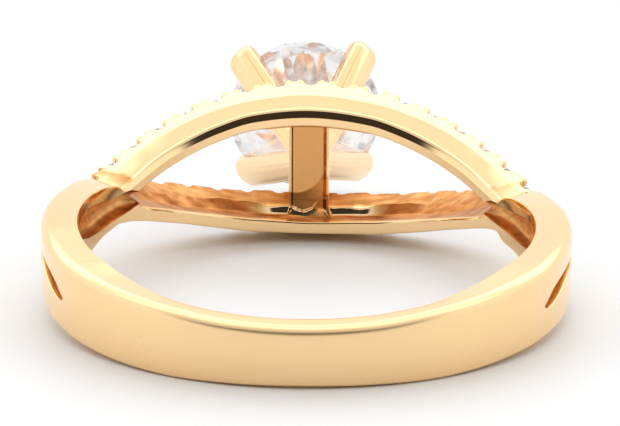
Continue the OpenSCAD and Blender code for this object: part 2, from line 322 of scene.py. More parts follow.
def rounded_section(corners, radii, bulges, arc_steps=5, edge_steps=7):
    """Closed outlines with rounded corners and slightly domed edges, one for each row of corners.

    corners is a list of arrays of (r, z), radii a list of arrays, and bulges says how far each edge to the
    next corner domes.
    """
    straight, most_reach = 0.9999, 0.45
    count = len(corners)
    starts, ends, arcs = [], [], []
    for k in range(count):
        here, before, after = corners[k], corners[k - 1], corners[(k + 1) % count]
        to_before, to_after = before - here, after - here
        len_before = np.linalg.norm(to_before, axis=1, keepdims=True)
        len_after = np.linalg.norm(to_after, axis=1, keepdims=True)
        to_before, to_after = to_before / len_before, to_after / len_after
        cosine = np.clip((to_before * to_after).sum(1, keepdims=True), -straight, straight)
        half = np.arccos(cosine) / 2
        reach = np.minimum(radii[k][:, None] / np.tan(half), most_reach * np.minimum(len_before, len_after))
        radius = reach * np.tan(half)
        toward = to_before + to_after
        toward /= np.linalg.norm(toward, axis=1, keepdims=True)
        centre = here + toward * radius / np.sin(half)
        first, last = here + to_before * reach, here + to_after * reach
        span = np.pi - 2 * half
        points = []
        for s in np.linspace(0, 1, arc_steps + 1):
            weight = np.sin((1 - s) * span) * (first - centre) + np.sin(s * span) * (last - centre)
            points.append(centre + weight / np.sin(span))
        arcs.append(points)
        starts.append(first)
        ends.append(last)
    outline = []
    for k in range(count):
        outline += arcs[k]
        p, q = ends[k], starts[(k + 1) % count]
        edge = q - p
        length = np.linalg.norm(edge, axis=1, keepdims=True)
        out = np.concatenate([edge[:, 1:], -edge[:, :1]], axis=1) / length
        for s in np.linspace(0, 1, edge_steps + 1)[1:-1]:
            outline.append(p + edge * s + out * 4 * s * (1 - s) * bulges[k][:, None])
    return np.stack(outline, axis=1)


def lofted(name, rings, closed=False):
    """A closed solid through rings of points, each with the same number of points."""
    rings = np.asarray(rings, float)
    count, k = rings.shape[:2]
    faces = []
    for i in range(count if closed else count - 1):
        j = (i + 1) % count
        for m in range(k):
            n = (m + 1) % k
            faces.append((i * k + m, i * k + n, j * k + n, j * k + m))
    if not closed:
        faces.append(tuple(range(k)))
        faces.append(tuple((count - 1) * k + m for m in range(k)))
    obj = mesh_object(name, rings.reshape(-1, 3), faces)
    outward(obj)
    return obj


def swept(name, angles, outlines, closed):
    """Joins outlines of (r, z), one at each angle round the finger hole, into a closed solid."""
    turn = np.radians(angles)[:, None]
    r, z = outlines[:, :, 0], outlines[:, :, 1]
    return lofted(name, np.stack([r * np.sin(turn), r * np.cos(turn), z], axis=2), closed)


def outward(obj):
    """Turns every face of a closed solid outwards."""
    bm = bmesh.new()
    bm.from_mesh(obj.data)
    bmesh.ops.recalc_face_normals(bm, faces=bm.faces)
    bm.to_mesh(obj.data)
    bm.free()


def smooth_between(low, high, x):
    """0 up to low, 1 from high on, with a smooth step between."""
    t = np.clip((x - low) / (high - low), 0, 1)
    return t * t * (3 - 2 * t)


def grows(angles, span):
    """0 from the head to the first angle of the span, 1 from its second angle to the back."""
    return smooth_between(*span, np.abs(angles))


def inside(low, high, value, soft):
    """1 between low and high, with a soft step at each."""
    above = smooth_between(low - soft, low + soft, value)
    return above * (1 - smooth_between(high - soft, high + soft, value))


def section_points(r, z):
    return np.stack([r, z], axis=1)


def eye_wall(angles, thick, inner, rim, eye_side):
    """The strand's side that faces the eye: the foot and the top of its wall, and how far the rim rises.

    On the under strand, where eye_side is 1, the wall is as uneven as its casting, and it ends level.
    """
    at_eye = 1 - grows(angles, BESIDE_EYE)
    by_bar = 1 - smooth_between(*BESIDE_BAR, np.abs(angles - BAR_ANGLE))
    foot, top = WALL_FOOT, WALL_TOP + TOP_SPREAD * (1 - by_bar)
    rise, rim_rise, level = WALL_RISE, RIM_RISE, 0
    if eye_side > 0:
        wave = np.sin(angles * 0.31 + 1.3) + 0.6 * np.sin(angles * 0.83 + 0.4)
        ripple = np.sin(angles * 1.9) + 0.7 * np.sin(angles * 3.7 + 2.0) + 0.5 * np.sin(angles * 6.1 + 1.0)
        level = grows(angles, CREASE_IN)
        foot = foot + 0.025 * wave - FOOT_IN * level
        top = top + 0.025 * wave * by_bar - TOP_IN * level
        rise = rise + 0.03 * wave + 0.006 * ripple
        rim_rise = rim_rise - 0.02 * wave + 0.007 * ripple

    def corner(share, height):
        z = inner + share * (1 - at_eye) * (rim - inner) + eye_side * height
        return section_points(HOLE_R + share * thick, z)

    lift = 1 - 0.9 * level
    wall_foot = corner(foot, 0.01 * lift + 0.03 * at_eye)
    wall_top = corner(top, 0.02 * lift + rise * at_eye)
    return wall_foot, wall_top, rim_rise * at_eye


def strand(name, rows, angles, closed, bevel_high, eye_side):
    """One strand: a wedge-shaped section with a small bevel along the finger hole's upper edge.

    The side that faces the eye, low (-1) or high (1), rises to a shoulder and runs on level to the rim.
    """
    at_head = 1 - grows(angles, NEAR_HEAD)
    far_back, comfort = grows(angles, FAR_BACK), grows(angles, COMFORT)
    flat = np.zeros(len(angles))
    hole, outer = flat + HOLE_R, outer_radius(rows, angles)
    thick = outer - hole
    in_low = along(rows, angles, IN_LOW) + right_dip(rows, angles, AT_HOLE)
    out_low = along(rows, angles, OUT_LOW) + right_dip(rows, angles, AT_FACE)
    in_high, out_high = along(rows, angles, IN_HIGH), along(rows, angles, OUT_HIGH)
    inner, rim = (in_low, out_low) if eye_side < 0 else (in_high, out_high)
    wall_foot, wall_top, rim_rise = eye_wall(angles, thick, inner, rim, eye_side)
    if eye_side < 0:
        out_low = out_low - rim_rise
        high_edge_r = 0.04 + 0.06 * at_head + 0.31 * grows(angles, OVER_ROUNDS) - 0.02 * far_back
        dome = DOME * (at_head + far_back)
    else:
        out_high = out_high + rim_rise
        high_edge_r = 0.09 + 0.26 * grows(angles, UNDER_ROUNDS)
        dome = DOME * at_head
    bevel = PLAIN_BEVEL + (bevel_high - PLAIN_BEVEL) * at_head
    bevel_top = section_points(hole + bevel * BEVEL_SLOPE + COMFORT_W * comfort, in_high)
    bevel_foot = section_points(hole, in_high - bevel - COMFORT_H * comfort)
    # Each corner has its radius and how far the edge to the next corner domes
    low_corners = [(section_points(hole, in_low), flat + 0.07, flat)]
    low_rim = (section_points(outer, out_low), 0.14 - 0.05 * at_head, dome)
    high_corners = [(section_points(outer, out_high), high_edge_r, flat)]
    bevel_corners = [(bevel_top, 0.22 - 0.02 * at_head + 0.1 * comfort, flat),
                     (bevel_foot, 0.04 + 0.3 * comfort, flat)]
    wall = [(wall_foot, flat + 0.10, flat), (wall_top, flat + 0.08, flat)]
    if eye_side < 0:
        crease_at = 0.44 + 0.14 * grows(angles, CREASE_OUT) - 0.24 * grows(angles, CREASE_IN)
        crease_z = in_high + crease_at * (out_high - in_high) + 0.001 + 0.079 * at_head
        crease = section_points(hole + crease_at * thick, crease_z)
        low_corners += wall
        high_corners.append((crease, 0.10 + 0.25 * at_head, 0.004 * at_head))
    else:
        high_corners += wall[::-1]
    points, radii, bulges = zip(*low_corners, low_rim, *high_corners, *bevel_corners)
    return swept(name, angles, rounded_section(points, radii, bulges), closed)


def hollow_at(angles):
    """The shoulders' hollow at angles round the ring: its low and high edge and its depth."""
    place = np.abs(angles) - CROSS_TURN * uneven(angles)
    place = np.clip(place, HOLLOW_ROWS[0, ANGLE], HOLLOW_ROWS[-1, ANGLE])
    low, high, depth = [column_at(HOLLOW_ROWS, place, c) for c in (HOLLOW_LOW, HOLLOW_HIGH, HOLLOW_DEPTH)]
    drop = CROSS_DROP * uneven(angles)
    return low - drop, high - drop, depth


def hollows():
    """Two cutters for the hollow that runs between the strands inside the shoulders."""
    steps, start_r, squareness = 93, HOLE_R - 0.3, 0.8
    cutters = []
    for side in (-1, 1):
        angles = side * np.linspace(HOLLOW_ROWS[0, ANGLE], HOLLOW_ROWS[-1, ANGLE], steps)
        low, high, depth = hollow_at(angles)
        across = np.linspace(0, np.pi, 19)
        r = HOLE_R + depth[:, None] * np.sin(across) ** squareness
        z = (low + high)[:, None] / 2 - (high - low)[:, None] / 2 * np.cos(across)
        mouth = np.full((steps, 1), start_r)
        r = np.concatenate([mouth, r, mouth], axis=1)
        z = np.concatenate([z[:, :1], z, z[:, -1:]], axis=1)
        cutters.append(swept(f"hollow{side}", angles, np.stack([r, z], axis=2), False))
    return cutters


def combined(obj, others, operation):
    """obj joined with, or cut by, the other closed solids, which are then removed."""
    for other in others:
        modifier = obj.modifiers.new("boolean", "BOOLEAN")
        modifier.operation = operation
        modifier.solver = "MANIFOLD"
        modifier.object = other
    graph = bpy.context.evaluated_depsgraph_get()
    mesh = bpy.data.meshes.new_from_object(obj.evaluated_get(graph))
    obj.modifiers.clear()
    old = obj.data
    obj.data = mesh
    bpy.data.meshes.remove(old)
    for other in others:
        data = other.data
        bpy.data.objects.remove(other)
        bpy.data.meshes.remove(data)
    return obj


def on_face(angle, r, z):
    """Places something at an angle round the finger hole, with its z axis pointing straight out."""
    a = math.radians(angle)
    place = Matrix.Translation((r * math.sin(a), r * math.cos(a), z))
    return place @ Matrix.Rotation(-a, 4, "Z") @ Matrix.Rotation(math.radians(-90), 4, "X")


def turned(name, profile, matrices, steps):
    """Copies of one solid of revolution about z, as one mesh. The profile runs (r, z) from axis to axis."""
    points, faces = [], []
    rings = profile[1:-1]
    for matrix in matrices:
        base = len(points)
        points.append(matrix @ Vector((0, 0, profile[0][1])))
        for r, z in rings:
            for i in range(steps):
                a = 2 * math.pi * i / steps
                points.append(matrix @ Vector((r * math.cos(a), r * math.sin(a), z)))
        points.append(matrix @ Vector((0, 0, profile[-1][1])))
        last = len(points) - 1
        for i in range(steps):
            j = (i + 1) % steps
            faces.append((base, base + 1 + j, base + 1 + i))
            for k in range(len(rings) - 1):
                low, high = base + 1 + k * steps, base + 1 + (k + 1) * steps
                faces.append((low + i, low + j, high + j, high + i))
            top = base + 1 + (len(rings) - 1) * steps
            faces.append((top + i, top + j, last))
    obj = mesh_object(name, points, faces)
    outward(obj)
    return obj


def accent_spots():
    """The place of each small stone: (CAD node, rows, angle, width, height along the finger)."""
    spots = []
    for i in range(-OVER_COUNT, OVER_COUNT + 1):
        a = i * ACCENT_PITCH
        name = f"over_accent_{i + OVER_COUNT + 1:02d}"
        spots.append((name, OVER_ROWS, a, ACCENT_D, float(outer_middle(OVER_ROWS, a))))
    angles = [-a for a in reversed(SMALL_ANGLES)]
    angles += [i * ACCENT_PITCH for i in range(-UNDER_COUNT, UNDER_COUNT + 1)]
    angles += list(SMALL_ANGLES)
    for i, a in enumerate(angles):
        small = abs(a) > SMALL_ANGLES[0] - 1
        z = along(UNDER_ROWS, a, OUT_HIGH) - SMALL_IN if small else outer_middle(UNDER_ROWS, a)
        d = SMALL_ACCENT_D if small else ACCENT_D
        spots.append((f"under_accent_{i + 1:02d}", UNDER_ROWS, a, d, float(z)))
    return spots


def seat_cutters(spots):
    """Holes for the small stones, each with a cone below, and the scallops that open its two sides."""
    lip, cone_depth, cone_tip, past_edge = 0.04, 0.47, 0.08, 0.28
    over_depth, under_depth = 0.12, -0.08
    seats, scallops = [], []
    for index, (_, rows, a, d, z) in enumerate(spots):
        place = on_face(a, float(outer_radius(rows, a)), z)
        hole = d / 2 + STONE_GAP
        low = -ACCENT_SINK - lip
        tip = low - d * cone_depth
        profile = [(0, tip), (d * cone_tip, tip), (hole, low), (hole, 1), (0, 1)]
        seats.append(turned(f"seat{index}", profile, [place], 40))
        if d == ACCENT_D:
            half = float(outer_width(rows, a)) / 2 + past_edge
            cut = [(0, -half), (SCALLOP_R, -half), (SCALLOP_R, half), (0, half)]
            depth = over_depth if rows is OVER_ROWS else under_depth
            across = place @ Matrix.Translation((0, 0, -depth)) @ Matrix.Rotation(math.pi / 2, 4, "X")
            scallops.append(turned(f"scallop{index}", cut, [across], 28))
    return seats, scallops


def beads(spots):
    """Small round grains of gold raised between neighbouring stones, a pair at each side."""
    half_apart, from_edge, sink = 0.21, 0.15, 0.04
    turns = np.radians(np.arange(-67.5, 68, 22.5))
    round_part = [(GRAIN_R * math.cos(t), GRAIN_R * math.sin(t)) for t in turns]
    dome = [(0, -GRAIN_R)] + round_part + [(0, GRAIN_R)]
    grains = []
    for rows in (OVER_ROWS, UNDER_ROWS):
        angles = sorted(a for _, own, a, d, _ in spots if own is rows and d == ACCENT_D)
        for a, b in zip(angles, angles[1:]):
            middle = (a + b) / 2
            r = float(outer_radius(rows, middle))
            apart = math.degrees(half_apart / r)
            for side in (-1, 1):
                for step in (-1, 1):
                    at = middle + step * apart
                    aside = float(outer_width(rows, at)) / 2 - from_edge
                    grains.append(on_face(at, r - sink, float(outer_middle(rows, at)) + side * aside))
    return turned("grains", dome, grains, 14)


def section_ring(shape, radii, bulges, place):
    """One rounded outline of (across, out), placed in space by a function of the two."""
    corners = [np.array([p], float) for p in shape]
    outline = rounded_section(corners, [np.array([r], float) for r in radii],
                              [np.array([b], float) for b in bulges], 4, 3)[0]
    return [tuple(place(a, b)) for a, b in outline]


def claw_frame(sx, sz):
    """A claw's foot, length, and the directions along it, out from the stone and across it."""
    slip_x, slip_z = CLAW_SLIP[sx, sz]
    foot = Vector((sx * CLAW_FOOT_X, CLAW_FOOT_Y, CLAW_FOOT_Z[sz]))
    tip = Vector((sx * CLAW_AT + slip_x, CLAW_Y, sz * CLAW_AT + slip_z))
    length = (tip - foot).length
    axis = (tip - foot) / length
    diagonal = Vector((sx, 0, sz)).normalized()
    outside = (diagonal - diagonal.dot(axis) * axis).normalized()
    return foot, length, axis, outside, axis.cross(outside) * (sx * sz)


def claw_section():
    """A claw's corners at full size: across, out, the corner's radius, the dome of the edge to the next."""
    half, top = CLAW_W / 2, CLAW_T / 2
    inner, line = -half - CLAW_INNER, -half + CLAW_CUT
    return [
        (inner, -top, 0.18, 0.02),
        (half, -top, 0.24, 0.03),
        (half, top - CLAW_CHAMFER, 0.40, 0.03),
        (half - CLAW_CHAMFER, top, 0.40, 0.08),
        (line + 2 * CLAW_LINE, top, 0.02, 0.0),
        (line + CLAW_LINE, top - 0.05, 0.01, 0.0),
        (line, top - 0.012, 0.02, 0.012),
        (inner, top - 0.20, 0.06, 0.02),
    ]


def claw_stations(length):
    """The distances along a claw where it has a section, and the section's size there."""
    cap_from = length + CLAW_PAST - CLAW_CAP
    stations = [(share * length, size) for share, size in CLAW_TAPER]
    stations += [(distance, 1.0) for distance in np.linspace(length - CLAW_BEND, cap_from, 5)]
    for t in np.radians(CAP_STEPS):
        stations.append((cap_from + CLAW_CAP * math.sin(t), math.cos(t) ** 0.9))
    return stations


def claw(name, sx, sz):
    """A claw: a ridged bar that leans out from its foot, bends over the stone's edge and ends round."""
    bend_rate, tip_r = 0.45, 0.36
    foot, length, axis, outside, side = claw_frame(sx, sz)
    bend_from, soft_to = length - CLAW_BEND, length + CLAW_PAST - 0.2
    section = claw_section()
    shape = [(across, out) for across, out, _, _ in section]
    rings = []
    for distance, size in claw_stations(length):
        soft = float(smooth_between(bend_from - 0.3, soft_to, distance))
        centre = foot + axis * distance - outside * bend_rate * max(0, distance - bend_from) ** 2

        def place(across, out):
            return HEAD_SET @ (centre + side * across * size + outside * out * size)

        radii = [r + soft * max(0, tip_r - r) for _, _, r, _ in section]
        bulges = [bulge * (1 - soft) for _, _, _, bulge in section]
        rings.append(section_ring(shape, radii, bulges, place))
    return lofted(name, rings)


# The bar's flat ends low in a round corner, about this point, this wide and this high
FLAT_X, FLAT_Z = -0.61, 0.33
FLAT_W, FLAT_H = 1.34, 1.54
# The bar's ledge: how far right of its middle, and how high
BAR_LEDGE = np.array([
    [-1.2, -1.70],
    [-0.81, -1.70],
    [-0.45, -1.86],
    [-0.15, -1.91],
    [0.12, -1.78],
    [0.35, -1.50],
    [0.55, -1.38],
    [0.81, -1.34],
    [1.2, -1.34],
])


def bar_scoop(u, z):
    """How far the bar's front is outside the round end of its flat, and how far below its ledge."""
    mean_size = 1.4
    end = np.hypot(np.maximum(u - FLAT_X, 0) / FLAT_W, np.minimum(z - FLAT_Z, 0) / FLAT_H)
    outside = np.maximum(end - 1, 0) * mean_size
    return outside, np.interp(u, BAR_LEDGE[:, 0], BAR_LEDGE[:, 1]) - z


def flare(short_of_end, reach):
    """How far into a flare a height is, and how far the round flare has opened there, both from 0 to 1."""
    share = min(1, max(0, (reach - short_of_end) / reach))
    return share, 1 - math.sqrt(1 - share**2)


def bar():
    """The upright bar between the strands, with a fine groove at each side of its flat front.

    The flat has a round lower end. Below it the front runs out to a small curved ledge and to the strand.
    """
    half_h, scoop_rate, ledge_depth, side_step = BAR_H / 2, 0.36, 0.09, 0.07
    rear = BAR_Y + BAR_DEPTH
    rings = []
    for z in np.linspace(-half_h, half_h, 141):
        _, high_grow = flare(half_h - z, 0.3)
        low, low_grow = flare(half_h + z, 0.5)
        w = BAR_W / 2 + 0.15 * high_grow + 0.40 * low_grow
        left, right = -w + LEFT_GROOVE, w - RIGHT_GROOVE
        left_side = [-w + 0.03, -w + 0.07, -w + 0.11, left, -w + 0.17]
        right_side = [w - 0.25, right, w - 0.10, w - 0.06, w - 0.03]
        u = np.concatenate([left_side, np.linspace(-w + 0.21, w - 0.29, 26), right_side])
        groove = np.where(np.isclose(u, left) | np.isclose(u, right), GROOVE_DEPTH * (1 - low), 0.0)
        corner = BAR_EDGE - np.sqrt(BAR_EDGE**2 - np.maximum(np.abs(u) - (w - BAR_EDGE), 0) ** 2)
        outside, below = bar_scoop(u, z)
        ledge = ledge_depth * smooth_between(-0.02, 0.05, below)
        scoop = scoop_rate * np.maximum(outside - 0.03, 0) + ledge
        front = BAR_Y - scoop - 0.2 * high_grow + groove + corner
        x = np.concatenate([u, [w, w, w - BAR_EDGE, -w + BAR_EDGE, -w, -w]])
        back = [front[-1] + side_step, rear - BAR_EDGE, rear, rear, rear - BAR_EDGE, front[0] + side_step]
        rings.append(np.stack([BAR_X + x, np.concatenate([front, back]), np.full(len(x), z)], axis=1))
    return lofted("bar", rings)


# A stone's half girdle, crown height and pavilion depth, as shares of its width
GIRDLE = 0.015
CROWN = 0.135
PAVILION = 0.46


def brilliant(name, d, steps):
    """A round brilliant, cut from a cylinder by its facets' planes. z is its axis, 0 at the girdle."""
    r, rim, top, low = d / 2, d * GIRDLE, d * CROWN, -d * PAVILION
    crown, star, upper = math.radians(34.5), math.radians(21.5), math.radians(40.5)
    pavilion, lower = math.radians(40.9), math.radians(42.0)
    bm = bmesh.new()
    bmesh.ops.create_cone(bm, cap_ends=True, segments=steps, radius1=r, radius2=r, depth=top - low)
    bmesh.ops.translate(bm, verts=bm.verts, vec=(0, 0, (top + low) / 2))
    chord = r * math.cos(math.radians(11.25))
    table = r - (top - rim) / math.tan(crown)

    def cut(azimuth, angle, distance, height, sign):
        a = math.radians(azimuth)
        across = math.sin(angle)
        normal = Vector((math.cos(a) * across, math.sin(a) * across, sign * math.cos(angle)))
        at = Vector((distance * math.cos(a), distance * math.sin(a), height))
        everything = bm.verts[:] + bm.edges[:] + bm.faces[:]
        result = bmesh.ops.bisect_plane(bm, geom=everything, dist=1e-5, plane_co=at, plane_no=normal,
                                        clear_outer=True)
        edges = [e for e in result["geom_cut"] if isinstance(e, bmesh.types.BMEdge)]
        bmesh.ops.edgeloop_fill(bm, edges=edges)

    for i in range(8):
        cut(45 * i, crown, r, rim, 1)
        cut(45 * i, pavilion, r, -rim, -1)
    for i in range(8):
        cut(45 * i + 22.5, star, table * math.cos(math.radians(22.5)), top, 1)
    for i in range(16):
        cut(22.5 * i + 11.25, upper, chord, rim, 1)
        cut(22.5 * i + 11.25, lower, chord, -rim, -1)
    mesh = bpy.data.meshes.new(name)
    bmesh.ops.recalc_face_normals(bm, faces=bm.faces)
    bm.to_mesh(mesh)
    bm.free()
    return mesh


def stone_object(name, mesh, matrix):
    """A stone that has a mesh of its own, placed in the ring as it rests."""
    data = mesh.copy()
    data.name = name
    data.transform(REST @ matrix)
    obj = bpy.data.objects.new(name, data)
    bpy.context.scene.collection.objects.link(obj)
    return obj


def head_place():
    """The matrix that sets the centre stone in the head."""
    return (HEAD_SET @ Matrix.Translation((0, GIRDLE_Y, 0)) @ Matrix.Rotation(math.radians(-90), 4, "X")
            @ Matrix.Rotation(math.radians(11.25), 4, "Z"))


def stone_cutter():
    """The centre stone's outline with a little room round it, to seat it in the claws."""
    r, rim = STONE_D / 2 + STONE_GAP, STONE_D * GIRDLE + STONE_GAP
    low, top = -STONE_D * PAVILION - STONE_GAP, STONE_D * CROWN + STONE_GAP
    profile = [(0, low), (0.02, low), (r, -rim), (r, rim), (STONE_D * 0.33 + STONE_GAP, top), (0, top)]
    return turned("stone_cutter", profile, [head_place()], 64)


def rim_satin_and_shade(x, r, z, angles):
    """The under strand's inner side, apart from the wall by the bar, which is polished. It is made satin
    and darkened with painted shade.
    """
    share = (r - HOLE_R) / (outer_radius(UNDER_ROWS, angles) - HOLE_R)
    rise = z - along(UNDER_ROWS, angles, IN_HIGH)
    rim = inside(-55, 55, angles, 3) * inside(0.07, 1.5, share, 0.02) * inside(-0.03, 0.9, rise, 0.02)
    by_bar = 1 - smooth_between(1.9, 2.5, np.abs(x - 0.35))
    polished = by_bar * inside(0.30, 0.50, share, 0.04) * inside(0.03, 0.36, rise, 0.03)
    return rim * (1 - polished)


def bar_satin_and_shade(x, y, z):
    """The bar's flat front, the part of it below its round end, and the two grooves beside it. All are made
    satin and darkened with painted shade, most in the grooves and below the round end, where the foot's
    shadow is painted.
    """
    u = x - BAR_X
    outside, below = bar_scoop(u, z)
    on_bar = inside(BAR_Y - 0.5, BAR_Y + 0.12, y, 0.02) * (np.abs(z) < 2.05)
    front = inside(-0.655, 0.575, u, 0.02) * (1 - smooth_between(-0.06, 0.0, below)) * on_bar
    left = 1 - smooth_between(0.0, 0.02, np.abs(u + BAR_W / 2 - LEFT_GROOVE))
    right = 1 - smooth_between(0.0, 0.05, np.abs(u - BAR_W / 2 + RIGHT_GROOVE))
    return front, front * smooth_between(0.0, 0.05, outside), (left + right) * on_bar


def hollow_satin_and_shade(r, z, angles):
    """The hollow inside each shoulder, made satin and darkened with painted shade."""
    low, high, depth = hollow_at(angles)
    across = (z > low - 0.03) & (z < high + 0.03) & (r > HOLE_R + 0.03) & (r < HOLE_R + depth + 0.1)
    return inside(47, 98, np.abs(angles), 1) * across


def slit_satin_and_shade(r, z, angles):
    """The slit between the two strands outside each shoulder, made satin and darkened with painted shade.
    """
    within = (r < outer_radius(OVER_ROWS, angles) - 0.05) & (r > HOLE_R + 0.7)
    near = np.abs(z - along(OVER_ROWS, angles, OUT_HIGH) - 0.16) < 0.40
    return inside(72, 117, np.abs(angles), 1) * (within & near)


def satin_and_painted_shade(points):
    """How far each point's gold is satin and darkened with painted shade, and how far it gets the darker
    painted shade of a recess, groove or shaded side, from 0 to 1.
    """
    x, y, z = points.T
    r, angles = np.hypot(x, y), np.degrees(np.arctan2(x, y))
    rim = rim_satin_and_shade(x, r, z, angles)
    front, foot_shade, grooves = bar_satin_and_shade(x, y, z)
    hollow, slit = hollow_satin_and_shade(r, z, angles), slit_satin_and_shade(r, z, angles)
    beside = claw_sides(points)
    # Both marks carry painted shade: the first makes the gold satin and darker, the second darkens it much
    # more where shade falls in recesses, grooves and shaded sides
    satin_and_shade = rim + front + grooves + hollow + slit + beside
    recess_shade = 0.8 * (rim + foot_shade) + 0.7 * (hollow + slit) + grooves + beside
    return np.clip(satin_and_shade, 0, 1), np.clip(recess_shade, 0, 1)


def between_ends(distance, length):
    """1 along a claw, fading to 0 where it ends over the stone."""
    return (distance > 0.5) * (1 - smooth_between(length - 0.3, length + 0.05, distance))


def claw_sides(points):
    """The side of each claw towards the middle of the stone, in its shadow, and the line cut along it, both
    made satin and darkened with painted shade.
    """
    side_share, line_share, half_thick = 0.55, 0.6, 0.6
    back = np.array(HEAD_SET.inverted())
    local = points @ back[:3, :3].T + back[:3, 3]
    inner, line = -CLAW_W / 2 - CLAW_INNER, -CLAW_W / 2 + CLAW_CUT + CLAW_LINE
    found = np.zeros(len(points))
    for sx, sz in CLAW_SLIP:
        foot, length, axis, outside, side = [np.array(v) for v in claw_frame(sx, sz)]
        rel = local - foot
        across, out, distance = rel @ side, rel @ outside, rel @ axis
        on_claw = np.abs(out) < half_thick
        face = (1 - smooth_between(inner, inner + 0.05, across)) * (across > -1)
        near = smooth_between(length - 1.6, length - 0.6, distance) * (distance < length + 0.4) * on_claw
        found = np.maximum(found, side_share * face * near)
        in_line = 1 - smooth_between(0.0, 0.025, np.abs(across - line))
        outer = (out > 0) * between_ends(distance, length) * on_claw
        found = np.maximum(found, line_share * in_line * outer)
    return found


def on_seam(co, seams):
    """Whether a point lies where the under strand ends in the band."""
    angle = math.degrees(math.atan2(co.x, co.y))
    return min(abs(angle - seam) for seam in seams) < 0.13 and math.hypot(co.x, co.y) > HOLE_R + 0.1


def weld(mesh, seams):
    """Closes the fine step where the under strand ends in the band."""
    bm = bmesh.new()
    bm.from_mesh(mesh)
    bmesh.ops.remove_doubles(bm, verts=[v for v in bm.verts if on_seam(v.co, seams)], dist=0.03)
    bm.to_mesh(mesh)
    bm.free()


def table_angle(row, side):
    """The angle round the ring where a strand's table is read at row, on the left (-1) or the right (1)."""
    place = side * row
    for _ in range(6):
        place = side * (row + CROSS_TURN * float(uneven(np.array(place))))
    return place


def band_angles():
    """The angles of the over strand's sections, and those where the under strand ends in it."""
    angles = np.arange(-179, 181, 1.0)
    seams = []
    for side in (-1, 1):
        for row in SEAM_ROWS:
            place = table_angle(row, side)
            angles = np.append(angles[np.abs(angles - place) > 0.05], place)
        seams.append(place)
    return np.sort(angles), seams


def mounting(spots):
    """All the gold as one closed solid, with its satin places and its painted shade marked."""
    angles, seams = band_angles()
    under_angles = np.linspace(-UNDER_END, UNDER_END, 2 * UNDER_END + 1)
    gold = strand("gold_mounting", OVER_ROWS, angles, True, OVER_BEVEL, -1)
    under = strand("under", UNDER_ROWS, under_angles, False, UNDER_BEVEL, 1)
    seats, scallops = seat_cutters(spots)
    claws = [claw(f"claw{i}", sx, sz) for i, (sx, sz) in enumerate(CLAW_SLIP)]
    combined(gold, [under, bar()], "UNION")
    combined(gold, hollows() + scallops, "DIFFERENCE")
    weld(gold.data, seams)
    combined(gold, [beads(spots)], "UNION")
    combined(gold, seats, "DIFFERENCE")
    head = claws[0]
    combined(head, claws[1:], "UNION")
    combined(head, [stone_cutter()], "DIFFERENCE")
    combined(gold, [head], "UNION")
    mesh = gold.data
    points = np.empty(len(mesh.vertices) * 3)
    mesh.vertices.foreach_get("co", points)
    # The two marks, satin with painted shade and the darker painted shade where shade falls, go on the mesh
    for name, values in zip(("satin_and_shade", "recess_shade"), satin_and_painted_shade(points.reshape(-1, 3))):
        mesh.attributes.new(name, "FLOAT", "POINT").data.foreach_set("value", values)
    mesh.transform(REST)
    mesh.shade_smooth()
    mesh.set_sharp_from_angle(angle=math.radians(32))
    return gold


def node_adder(tree):
    """A function that adds a node to the tree, with its settings, and sets or links its inputs."""
    def add(kind, inputs, **settings):
        node = tree.nodes.new(kind)
        for key, value in settings.items():
            setattr(node, key, value)
        for socket, value in inputs.items():
            if isinstance(value, bpy.types.NodeSocket):
                tree.links.new(value, node.inputs[socket])
            else:
                node.inputs[socket].default_value = value
        return node

    return add


def principled(name):
    material = bpy.data.materials.new(name)
    material.use_nodes = True
    return material, material.node_tree.nodes["Principled BSDF"]


# Gold where it is polished; darker where it is satin, as painted shade; much darker in a recess, as painted
# shade; and paler where it is seen through a stone, as painted brightness
GOLD = (0.992, 0.70, 0.375, 1)
SATIN_SHADE_GOLD = (0.78, 0.41, 0.15, 1)
RECESS_SHADE_GOLD = (0.42, 0.16, 0.045, 1)
PAINTED_BRIGHT_GOLD = (0.97, 0.84, 0.74, 1)
CAST_ROUGHNESS = 0.30
MARKS_ROUGHNESS = 0.05
# The back of the band is more worn: from this y to this y, in metres, the roughness grows
WEAR_FROM, WEAR_TO = -0.006, -0.013
WEAR_LEAST, WEAR_MOST = 0.05, 0.30


def gold_colour(add, place):
    """Polished gold, darker with painted shade where it is satin, darker still with streaked painted shade
    in the recesses, and painted paler, as painted brightness, where it is seen through a stone.
    """
    satin_and_shade = add("ShaderNodeAttribute", {}, attribute_name="satin_and_shade").outputs["Fac"]
    recess_shade = add("ShaderNodeAttribute", {}, attribute_name="recess_shade").outputs["Fac"]
    # Noise breaks the painted shade of the recesses into streaks
    stretch = add("ShaderNodeMapping", {"Vector": place, "Scale": (0.22, 1.0, 1.0)})
    streaks = add("ShaderNodeTexNoise", {"Vector": stretch.outputs["Vector"], "Scale": 3200, "Detail": 2})
    shade = add("ShaderNodeMapRange", {"Value": streaks.outputs["Fac"], "From Min": 0.38, "From Max": 0.62,
                                       "To Min": 0.25, "To Max": 1.0})
    recess = add("ShaderNodeMath", {0: recess_shade, 1: shade.outputs["Result"]}, operation="MULTIPLY")
    # Painted shade: satin gold is darker, and darker still in a recess
    darker = add("ShaderNodeMix", {"Factor": recess.outputs["Value"], "A": SATIN_SHADE_GOLD, "B": RECESS_SHADE_GOLD},
                 data_type="RGBA")
    colour = add("ShaderNodeMix", {"Factor": satin_and_shade, "A": GOLD, "B": darker.outputs["Result"]},
                 data_type="RGBA")
    # Where the gold is seen through a stone it is painted paler, as painted brightness
    rays = add("ShaderNodeLightPath", {})
    painted_brightness = add("ShaderNodeMath", {0: rays.outputs["Is Transmission Ray"], 1: 0.6}, operation="MULTIPLY")
    seen = add("ShaderNodeMix", {"Factor": painted_brightness.outputs["Value"], "A": colour.outputs["Result"],
                                 "B": PAINTED_BRIGHT_GOLD}, data_type="RGBA")
    return satin_and_shade, seen.outputs["Result"]


